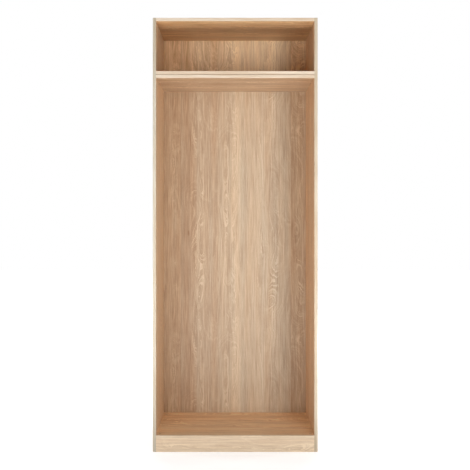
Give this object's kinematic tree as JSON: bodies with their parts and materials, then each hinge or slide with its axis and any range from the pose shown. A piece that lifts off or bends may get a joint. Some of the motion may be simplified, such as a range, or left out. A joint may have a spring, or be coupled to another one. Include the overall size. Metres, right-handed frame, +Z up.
{
  "type": "wardrobe",
  "caption": "Open-front two-part wardrobe carcass: tall base unit on a flush plinth with a low top box above, oak-faced boards, pale edging, grooved-in backs and levelling feet.",
  "frame": {"origin": "on the floor, under the middle of the carcass", "axes": "+X to the right seen from the front, +Y to the rear, +Z up; the open front faces -Y"},
  "size_m": [0.9, 0.58, 2.395],
  "materials": {
    "oak_board": "light oak melamine on chipboard, fine matt grain",
    "oak_edging": "pale oak edging strip, matt",
    "oak_back": "light oak foil on thin fibreboard, brown unfaced rear",
    "die_cast_zinc": "matt die-cast zinc",
    "zinc_plated_steel": "bright zinc plating",
    "beech": "plain beech",
    "grey_plastic": "moulded, fine texture",
    "black_plastic": "moulded, fine texture",
    "oak_plastic": "oak-toned moulded plastic",
    "galvanised_steel": "galvanised sheet, satin"
  },
  "bodies": {
    "carcass": {"access_hole_caps": "oak_plastic", "base_back_panel": "oak_back", "base_bottom_panel": "oak_board", "base_cam_bolts": "zinc_plated_steel", "base_cam_locks": "die_cast_zinc", "base_corner_dowels": "beech", "base_left_side": "oak_board", "base_left_side_edging": "oak_edging", "base_right_side": "oak_board", "base_right_side_edging": "oak_edging", "base_top_panel": "oak_board", "base_top_panel_edging": "oak_edging", "front_plinth": "oak_board", "front_plinth_edging": "oak_edging", "levelling_foot_housings": "grey_plastic", "plinth_dowels": "beech", "rear_plinth_rail": "oak_board", "top_box_back_panel": "oak_back", "top_box_bottom_panel": "oak_board", "top_box_bottom_panel_edging": "oak_edging", "top_box_cam_bolts": "zinc_plated_steel", "top_box_cam_locks": "die_cast_zinc", "top_box_corner_dowels": "beech", "top_box_left_side": "oak_board", "top_box_left_side_edging": "oak_edging", "top_box_right_side": "oak_board", "top_box_right_side_edging": "oak_edging", "top_box_top_panel": "oak_board", "top_box_top_panel_edging": "oak_edging", "unit_joining_screws": "zinc_plated_steel", "wall_bracket_screws": "zinc_plated_steel", "wall_brackets": "galvanised_steel"},
    "front_left_foot": {"front_left_foot_spindle": "zinc_plated_steel", "front_left_foot_pad": "black_plastic"},
    "rear_left_foot": {"rear_left_foot_spindle": "zinc_plated_steel", "rear_left_foot_pad": "black_plastic"},
    "front_right_foot": {"front_right_foot_spindle": "zinc_plated_steel", "front_right_foot_pad": "black_plastic"},
    "rear_right_foot": {"rear_right_foot_spindle": "zinc_plated_steel", "rear_right_foot_pad": "black_plastic"}
  },
  "joints": [
    {"name": "front_left_foot_height", "type": "slide", "parent": "carcass", "child": "front_left_foot", "axis": [0, 0, -1], "range_m": [0, 0.015]},
    {"name": "rear_left_foot_height", "type": "slide", "parent": "carcass", "child": "rear_left_foot", "axis": [0, 0, -1], "range_m": [0, 0.015]},
    {"name": "front_right_foot_height", "type": "slide", "parent": "carcass", "child": "front_right_foot", "axis": [0, 0, -1], "range_m": [0, 0.015]},
    {"name": "rear_right_foot_height", "type": "slide", "parent": "carcass", "child": "rear_right_foot", "axis": [0, 0, -1], "range_m": [0, 0.015]}
  ]
}
